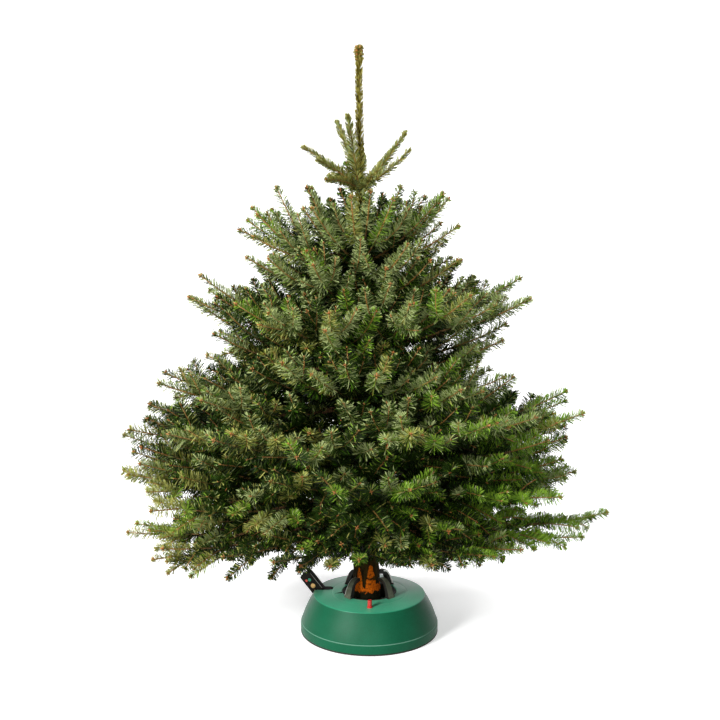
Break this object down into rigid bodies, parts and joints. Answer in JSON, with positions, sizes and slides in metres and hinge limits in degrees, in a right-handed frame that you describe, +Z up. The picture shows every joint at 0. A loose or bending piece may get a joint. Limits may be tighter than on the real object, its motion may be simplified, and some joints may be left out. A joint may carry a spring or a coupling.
{
  "type": "christmas tree",
  "caption": "Young cut fir with whorls of flat sprays and a bare leader, clamped in a round green plastic stand with a foot pedal.",
  "frame": {"origin": "middle of the stand's flat underside", "axes": "+Z up along the tree, -Y the front, with the pedal on the left, towards -X"},
  "size_m": [1.2342, 1.1025, 1.5],
  "materials": {
    "bark": "rough dark brown fir bark, scraped orange near the stand",
    "needles": "flat fir needles, grey-green above, fresh green below",
    "green_plastic": "finely grained moulded green plastic",
    "black_plastic": "satin black moulded plastic",
    "claw_metal": "dark grey coated steel",
    "red_plastic": "glossy red plastic"
  },
  "bodies": {
    "root": {"bough_7_1": "bark", "bough_7_2": "bark", "bough_7_3": "bark", "bough_7_4": "bark", "bough_7_5": "bark", "bough_8_1": "bark", "bough_8_2": "bark", "bough_8_3": "bark", "bough_8_4": "bark", "bough_8_5": "bark", "bough_8_6": "bark", "foliage_1_1": "needles", "foliage_1_2": "needles", "foliage_1_3": "needles", "foliage_1_4": "needles", "foliage_2_1": "needles", "foliage_2_2": "needles", "foliage_2_3": "needles", "foliage_2_4": "needles", "foliage_3_1": "needles", "foliage_3_2": "needles", "foliage_3_3": "needles", "foliage_3_4": "needles", "foliage_4_1": "needles", "foliage_4_2": "needles", "foliage_4_3": "needles", "foliage_4_4": "needles", "foliage_4_5": "needles", "foliage_5_1": "needles", "foliage_5_2": "needles", "foliage_5_3": "needles", "foliage_5_4": "needles", "foliage_5_5": "needles", "foliage_6_1": "needles", "foliage_6_2": "needles", "foliage_6_3": "needles", "foliage_6_4": "needles", "foliage_6_5": "needles", "foliage_7_1": "needles", "foliage_7_2": "needles", "foliage_7_3": "needles", "foliage_7_4": "needles", "foliage_7_5": "needles", "foliage_8_1": "needles", "foliage_8_2": "needles", "foliage_8_3": "needles", "foliage_8_4": "needles", "foliage_8_5": "needles", "foliage_8_6": "needles", "foliage_leader": "needles", "stand_claw_back_left": "claw_metal", "stand_claw_back_right": "claw_metal", "stand_claw_front_left": "claw_metal", "stand_claw_front_right": "claw_metal", "stand_collar": "black_plastic", "stand_float": "red_plastic", "stand_housing": "green_plastic", "stand_pedal": "black_plastic", "trunk": "bark"}
  },
  "joints": []
}
